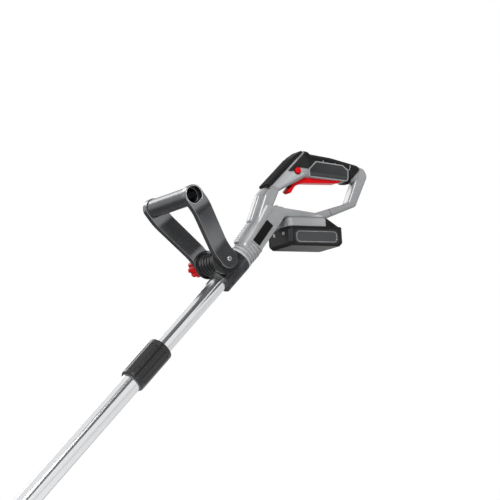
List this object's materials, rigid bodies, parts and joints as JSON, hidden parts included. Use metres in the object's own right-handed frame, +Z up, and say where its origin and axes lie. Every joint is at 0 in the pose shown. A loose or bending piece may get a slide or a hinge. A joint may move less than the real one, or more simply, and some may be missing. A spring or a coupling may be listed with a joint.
{
  "type": "string trimmer",
  "caption": "Cordless telescopic string trimmer: looped rear handle with trigger and slide-on battery, swinging front handle, tilting motor head with guard and line spool.",
  "frame": {"origin": "middle of the rear grip", "axes": "+X back to the user, +Z up, -Y the user's left; the tool is held as in use, its shaft 47.5 degrees from level"},
  "size_m": [0.9222, 0.264, 0.9155],
  "materials": {
    "shell_grey": "satin moulded",
    "grip_black": "soft overmould",
    "grip_grey": "soft overmould",
    "plate_black": "smooth, bare",
    "accent_red": "moulded",
    "charcoal": "fine moulded grain",
    "pack_charcoal": "fine moulded grain",
    "pack_plate": "bare",
    "bail_metallic": "metallic sheen",
    "black_plastic": "moulded",
    "tube_bright": "polished",
    "steel": "zinc plated",
    "copper_alloy": "bare contact",
    "cell_wrap": "wrapped cell",
    "lead_black": "jacketed lead",
    "nylon_line": "cutting line"
  },
  "bodies": {
    "handle": {"handle_shell_left": "shell_grey", "handle_shell_right": "shell_grey", "handle_screws": "steel", "grip_rubber": "grip_black", "side_grip_pads": "grip_grey", "front_grip_pad": "grip_black", "nameplates": "plate_black", "trigger_switch": "black_plastic", "trigger_spring": "steel", "lock_spring": "steel", "handle_leads": "lead_black", "battery_dock": "shell_grey", "contact_blades": "copper_alloy", "clamp_body": "black_plastic", "clamp_cap": "charcoal", "clamp_screws": "steel", "ratchet_rings": "black_plastic", "upper_tube": "tube_bright", "tube_bush": "black_plastic", "coiled_lead": "lead_black"},
    "trigger": {"trigger": "accent_red"},
    "lock": {"lock_button": "accent_red"},
    "battery": {"battery_lid": "pack_charcoal", "battery_tub": "pack_charcoal", "battery_side_plates": "pack_plate", "battery_cells": "cell_wrap", "cell_cradle": "black_plastic", "battery_terminals": "copper_alloy", "latch_spring": "steel"},
    "latch": {"battery_latch": "charcoal"},
    "bail": {"bail_arm_left": "bail_metallic", "bail_arm_right": "bail_metallic", "bail_grip": "bail_metallic", "bail_bolt": "steel"},
    "knob": {"clamp_knob": "accent_red", "knob_nut": "steel"},
    "lower_shaft": {"lower_tube": "tube_bright", "collar_seat": "black_plastic", "collet_ring": "black_plastic", "tilt_knuckle": "charcoal"},
    "collar": {"collar_nut": "black_plastic"},
    "head": {"motor_housing_left": "shell_grey", "motor_housing_right": "shell_grey", "head_screws": "steel", "motor_plate": "steel", "motor": "steel", "guard": "charcoal", "line_cutter": "steel", "tilt_pin": "steel"},
    "tilt_release": {"tilt_button": "accent_red"},
    "line_head": {"motor_shaft": "steel", "drive_hub": "black_plastic", "spool_case": "black_plastic", "line_eyelets": "steel", "cutting_lines": "nylon_line", "bump_spring": "steel"},
    "spool_unit": {"spool": "charcoal", "wound_line": "nylon_line", "bump_cap": "accent_red"},
    "hoop": {"edge_hoop": "steel"}
  },
  "joints": [
    {"name": "trigger_squeeze", "type": "hinge", "parent": "handle", "child": "trigger", "pos_m": [0.024, 0, -0.0115], "axis": [0, 1, 0], "range_deg": [0, 4.2], "stiffness_Nm_per_rad": 4, "springref_deg": -1.15, "deforming": ["trigger_spring"]},
    {"name": "lock_push", "type": "slide", "parent": "handle", "child": "lock", "axis": [0, 1, 0], "range_m": [0, 0.004], "stiffness_N_per_m": 900, "springref_m": -0.001, "deforming": ["lock_spring"]},
    {"name": "battery_slide", "type": "slide", "parent": "handle", "child": "battery", "axis": [0.9976, 0, 0.0698], "range_m": [0, 0.075]},
    {"name": "latch_push", "type": "slide", "parent": "battery", "child": "latch", "axis": [-0.4996, 0, -0.8662], "range_m": [0, 0.003], "stiffness_N_per_m": 1200, "springref_m": -0.001, "deforming": ["latch_spring"]},
    {"name": "bail_swing", "type": "hinge", "parent": "handle", "child": "bail", "pos_m": [-0.2024, 0, -0.16818], "axis": [0, 1, 0], "range_deg": [-35, 35]},
    {"name": "knob_turn", "type": "hinge", "parent": "bail", "child": "knob", "pos_m": [-0.2024, 0, -0.16818], "axis": [0, 1, 0], "range_deg": [0, 540]},
    {"name": "shaft_telescope", "type": "slide", "parent": "handle", "child": "lower_shaft", "axis": [-0.6756, 0, -0.7373], "range_m": [-0.14, 0.1], "deforming": ["coiled_lead"]},
    {"name": "collar_twist", "type": "hinge", "parent": "lower_shaft", "child": "collar", "pos_m": [-0.3299, 0, -0.34432], "axis": [-0.6756, 0, -0.7373], "range_deg": [0, 150]},
    {"name": "head_tilt", "type": "hinge", "parent": "lower_shaft", "child": "head", "pos_m": [-0.68526, 0, -0.73213], "axis": [0, 1, 0], "range_deg": [-25, 35]},
    {"name": "tilt_release_push", "type": "slide", "parent": "head", "child": "tilt_release", "axis": [0, 1, 0], "range_m": [0, 0.003], "stiffness_N_per_m": 900, "springref_m": -0.001},
    {"name": "line_spin", "type": "hinge", "parent": "head", "child": "line_head", "pos_m": [-0.69526, 0, -0.85213], "axis": [0, 0, 1], "continuous": true},
    {"name": "bump_feed", "type": "slide", "parent": "line_head", "child": "spool_unit", "axis": [0, 0, 1], "range_m": [0, 0.005], "stiffness_N_per_m": 1500, "springref_m": -0.003, "deforming": ["bump_spring"]},
    {"name": "hoop_swing", "type": "hinge", "parent": "head", "child": "hoop", "pos_m": [-0.69526, 0, -0.82613], "axis": [0, 1, 0], "range_deg": [0, 85]}
  ]
}
